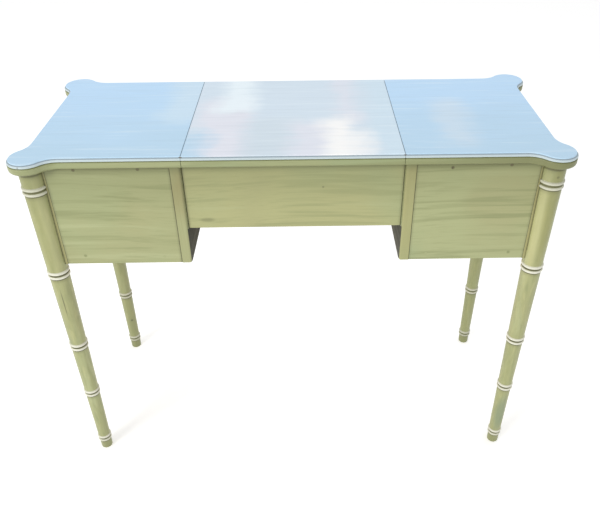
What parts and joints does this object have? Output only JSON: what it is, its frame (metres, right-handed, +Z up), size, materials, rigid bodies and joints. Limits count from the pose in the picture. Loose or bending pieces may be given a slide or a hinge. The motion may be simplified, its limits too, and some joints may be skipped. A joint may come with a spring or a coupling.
{
  "type": "sewing table",
  "caption": "Painted sewing table on ring-turned legs, with drawer cases on both sides of a kneehole and a lift-up lid over a shallow well between them.",
  "frame": {"origin": "on the floor, midway between the four legs", "axes": "+X along the long side, +Z up, the plain back faces -Y and the drawers open towards +Y"},
  "size_m": [0.9978, 0.42, 0.762],
  "materials": {
    "painted_green": "satin sage green paint with an olive glaze in the joints",
    "painted_top": "pale blue satin paint, ivory bead and sage green edge",
    "painted_ivory": "satin ivory paint",
    "bare_wood": "unpainted aged wood",
    "brass": "aged brass",
    "steel": "dull steel"
  },
  "bodies": {
    "table": {"leg_back_left": "painted_green", "leg_back_right": "painted_green", "leg_front_left": "painted_green", "leg_front_right": "painted_green", "top_panel_left": "painted_top", "top_panel_right": "painted_top", "case_inner_side_left": "painted_green", "case_inner_side_right": "painted_green", "case_outer_side_left": "painted_green", "case_outer_side_right": "painted_green", "case_back_panel_left": "painted_green", "case_back_panel_right": "painted_green", "front_rails_left": "painted_green", "front_rails_right": "painted_green", "rear_rails_left": "bare_wood", "rear_rails_right": "bare_wood", "drawer_runners_left": "bare_wood", "drawer_runners_right": "bare_wood", "back_apron": "painted_green", "front_apron": "painted_green", "well_bottom": "bare_wood", "well_cleats": "bare_wood", "top_hinge_leaves": "brass", "hinge_pins": "brass", "top_hinge_screws": "brass", "back_panel_nails": "steel", "top_dowels": "bare_wood", "leg_screws": "steel"},
    "lid": {"lid": "painted_top", "lid_hinge_leaves": "brass", "lid_hinge_screws": "brass"},
    "upper_left_drawer": {"upper_left_drawer_front": "painted_green", "upper_left_drawer_side_outer": "bare_wood", "upper_left_drawer_side_inner": "bare_wood", "upper_left_drawer_back": "bare_wood", "upper_left_drawer_bottom": "bare_wood", "upper_left_knob": "painted_ivory", "upper_left_knob_screw": "steel"},
    "upper_right_drawer": {"upper_right_drawer_front": "painted_green", "upper_right_drawer_side_outer": "bare_wood", "upper_right_drawer_side_inner": "bare_wood", "upper_right_drawer_back": "bare_wood", "upper_right_drawer_bottom": "bare_wood", "upper_right_knob": "painted_ivory", "upper_right_knob_screw": "steel"},
    "lower_left_drawer": {"lower_left_drawer_front": "painted_green", "lower_left_drawer_side_outer": "bare_wood", "lower_left_drawer_side_inner": "bare_wood", "lower_left_drawer_back": "bare_wood", "lower_left_drawer_bottom": "bare_wood", "lower_left_knob": "painted_ivory", "lower_left_knob_screw": "steel"},
    "lower_right_drawer": {"lower_right_drawer_front": "painted_green", "lower_right_drawer_side_outer": "bare_wood", "lower_right_drawer_side_inner": "bare_wood", "lower_right_drawer_back": "bare_wood", "lower_right_drawer_bottom": "bare_wood", "lower_right_knob": "painted_ivory", "lower_right_knob_screw": "steel"}
  },
  "joints": [
    {"name": "lid_hinge", "type": "hinge", "parent": "table", "child": "lid", "pos_m": [0, -0.178, 0.7565], "axis": [1, 0, 0], "range_deg": [0, 100]},
    {"name": "upper_left_drawer_slide", "type": "slide", "parent": "table", "child": "upper_left_drawer", "axis": [0, 1, 0], "range_m": [0, 0.25]},
    {"name": "upper_right_drawer_slide", "type": "slide", "parent": "table", "child": "upper_right_drawer", "axis": [0, 1, 0], "range_m": [0, 0.25]},
    {"name": "lower_left_drawer_slide", "type": "slide", "parent": "table", "child": "lower_left_drawer", "axis": [0, 1, 0], "range_m": [0, 0.25]},
    {"name": "lower_right_drawer_slide", "type": "slide", "parent": "table", "child": "lower_right_drawer", "axis": [0, 1, 0], "range_m": [0, 0.25]}
  ]
}
